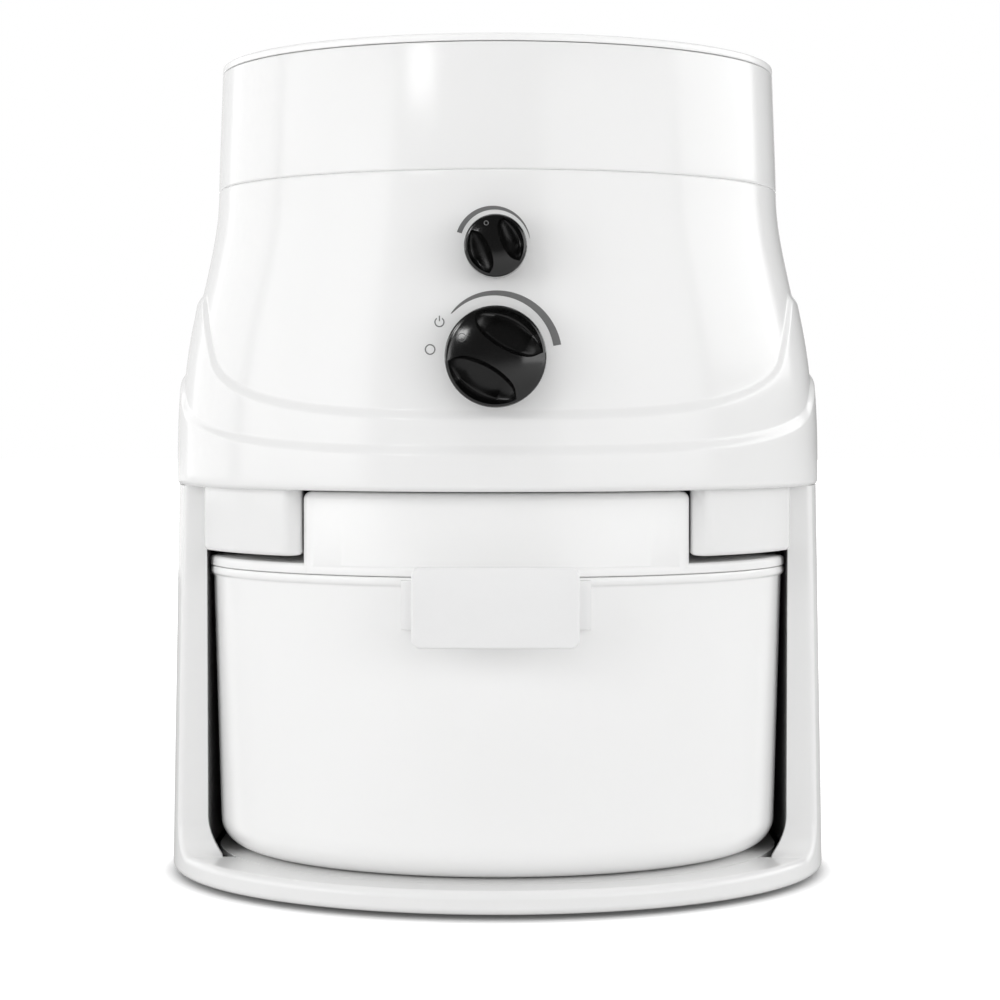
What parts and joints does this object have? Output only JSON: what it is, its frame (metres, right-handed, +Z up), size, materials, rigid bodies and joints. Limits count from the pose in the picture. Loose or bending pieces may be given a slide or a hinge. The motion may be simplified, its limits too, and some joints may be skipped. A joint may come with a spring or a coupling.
{
  "type": "electric grain mill",
  "caption": "Electric impact grain mill: round hopper over a stepped motor housing with a feed knob and a speed knob, and a lidded flour bowl that slides out of the base.",
  "frame": {"origin": "on the milling axis, at the height of the surface the feet stand on, midway between grip and cord gland", "axes": "+Z up along the milling axis, -Y towards the front with the knobs and the bowl, +X to the right seen from the front"},
  "size_m": [0.2818, 0.272, 0.3448],
  "materials": {
    "white_shell": "high-gloss moulded ABS, pure white",
    "white_bowl": "satin-gloss white moulded bowl plastic",
    "lid_clear_white": "milky translucent glossy plastic",
    "frosted_grip": "frosted translucent plastic",
    "liner_grey": "plain moulded inner plastic",
    "black_knob": "gloss black knob with satin recesses",
    "steel": "turned and plated steel",
    "cast_alloy": "die-cast alloy",
    "lamination": "varnished steel laminations",
    "copper": "enamelled copper wire and copper segments",
    "gear_nylon": "natural acetal gear plastic",
    "rubber_black": "black rubber",
    "silicone": "silicone seal",
    "gasket_white": "white soft gasket",
    "foam": "open-cell filter foam",
    "dark_moulding": "dark moulded phenolic and nylon",
    "board_green": "circuit board with parts",
    "carbon": "carbon brush"
  },
  "bodies": {
    "mill_body": {"motor_housing": "white_shell", "housing_floor": "white_shell", "guide_rail_left": "white_shell", "guide_rail_right": "white_shell", "lower_shell": "white_shell", "bay_liner": "liner_grey", "bay_floor": "white_shell", "base_pan": "liner_grey", "rubber_feet": "rubber_black", "cord_gland": "dark_moulding", "hopper": "white_shell", "sector_stud": "steel", "feed_throat": "white_bowl", "control_bracket": "steel", "gear_plate": "steel", "power_switch": "dark_moulding", "speed_potentiometer": "dark_moulding", "speed_board": "board_green", "mill_chamber": "cast_alloy", "chamber_gasket": "silicone", "shaft_seal": "silicone", "mill_stator": "steel", "flour_chute": "white_bowl", "field_core": "lamination", "field_windings": "copper", "brush_holders": "dark_moulding", "carbon_brushes": "carbon", "lower_bearing": "steel", "upper_bearing": "steel", "lower_bracket": "cast_alloy", "upper_bracket": "cast_alloy", "motor_mounts": "rubber_black", "housing_screws": "steel", "base_screws": "steel"},
    "bowl_assembly": {"flour_bowl": "white_bowl", "bowl_handle": "frosted_grip", "bowl_lid": "white_bowl", "lid_gasket": "gasket_white", "separator_cup": "white_bowl", "filter_foam": "foam", "filter_grille": "white_bowl"},
    "hopper_cover": {"hopper_lid": "lid_clear_white"},
    "feed_control": {"feed_knob": "black_knob", "feed_shaft": "steel", "feed_pinion": "gear_nylon"},
    "sector_gear": {"feed_sector": "gear_nylon"},
    "gate": {"feed_gate": "gear_nylon"},
    "speed_control": {"speed_knob": "black_knob", "speed_shaft": "steel"},
    "mill_drive": {"motor_shaft": "steel", "armature_core": "lamination", "armature_windings": "copper", "commutator": "copper", "mill_rotor": "steel", "rotor_nut": "steel", "cooling_fan": "dark_moulding"}
  },
  "joints": [
    {"name": "bowl_slide", "type": "slide", "parent": "mill_body", "child": "bowl_assembly", "axis": [0, -1, 0], "range_m": [0, 0.24]},
    {"name": "lid_lift", "type": "slide", "parent": "mill_body", "child": "hopper_cover", "axis": [0, 0, 1], "range_m": [0, 0.06]},
    {"name": "feed_turn", "type": "hinge", "parent": "mill_body", "child": "feed_control", "pos_m": [0, -0.1, 0.2193], "axis": [0, 1, 0], "range_deg": [-22.8, 139.5]},
    {"name": "sector_turn", "type": "hinge", "parent": "mill_body", "child": "sector_gear", "pos_m": [0, -0.0915, 0.2568], "axis": [0, 1, 0], "range_deg": [-44.1, 7.25]},
    {"name": "gate_slide", "type": "slide", "parent": "mill_body", "child": "gate", "axis": [-1, 0, 0], "range_m": [-0.0021, 0.0127]},
    {"name": "speed_turn", "type": "hinge", "parent": "mill_body", "child": "speed_control", "pos_m": [0, -0.12, 0.2617], "axis": [0, 1, 0], "range_deg": [-43.8, 97.7]},
    {"name": "mill_spin", "type": "hinge", "parent": "mill_body", "child": "mill_drive", "pos_m": [0, 0, 0.2], "axis": [0, 0, 1], "continuous": true}
  ],
  "couplings": [
    {"joint": "sector_turn", "follows": "feed_turn", "ratio": -0.31579},
    {"joint": "gate_slide", "follows": "feed_turn", "m_per_rad": 0.0052105}
  ]
}
